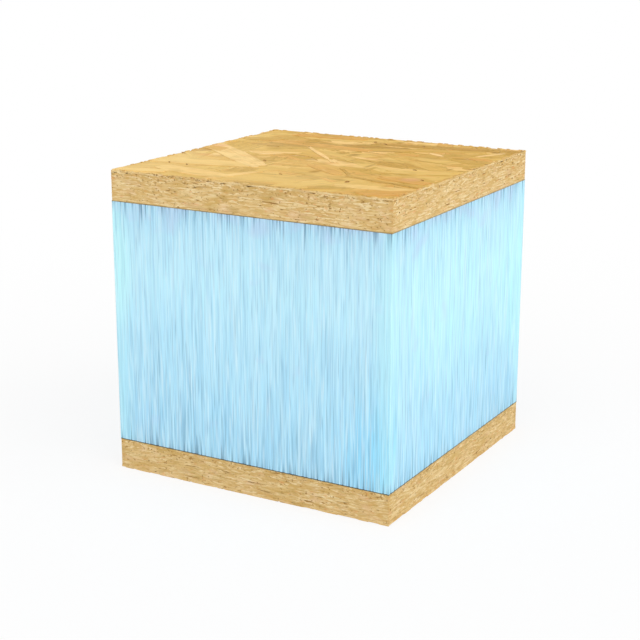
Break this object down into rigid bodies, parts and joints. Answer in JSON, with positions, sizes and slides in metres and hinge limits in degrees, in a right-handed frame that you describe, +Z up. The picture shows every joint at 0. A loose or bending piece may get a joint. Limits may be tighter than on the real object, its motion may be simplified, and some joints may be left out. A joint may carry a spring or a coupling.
{
  "type": "structural insulated panel sample block",
  "caption": "Sawn block of sandwich panel: strand board facings glued to a light blue rigid foam core, lying flat, used to show or build up insulated walls.",
  "frame": {"origin": "middle of the underside, where the block rests", "axes": "+Z up through the layers, X and Y along the sawn sides"},
  "size_m": [0.15, 0.15, 0.1508],
  "materials": {
    "strand_board": "pressed wood strands, matt with a faint resin sheen",
    "adhesive": "cured polyurethane adhesive, dark and matt",
    "foam": "sawn extruded polystyrene, matt with fine upright streaks"
  },
  "bodies": {
    "root": {"bottom_facing": "strand_board", "bottom_glue_line": "adhesive", "foam_core": "foam", "top_glue_line": "adhesive", "top_facing": "strand_board"}
  },
  "joints": []
}
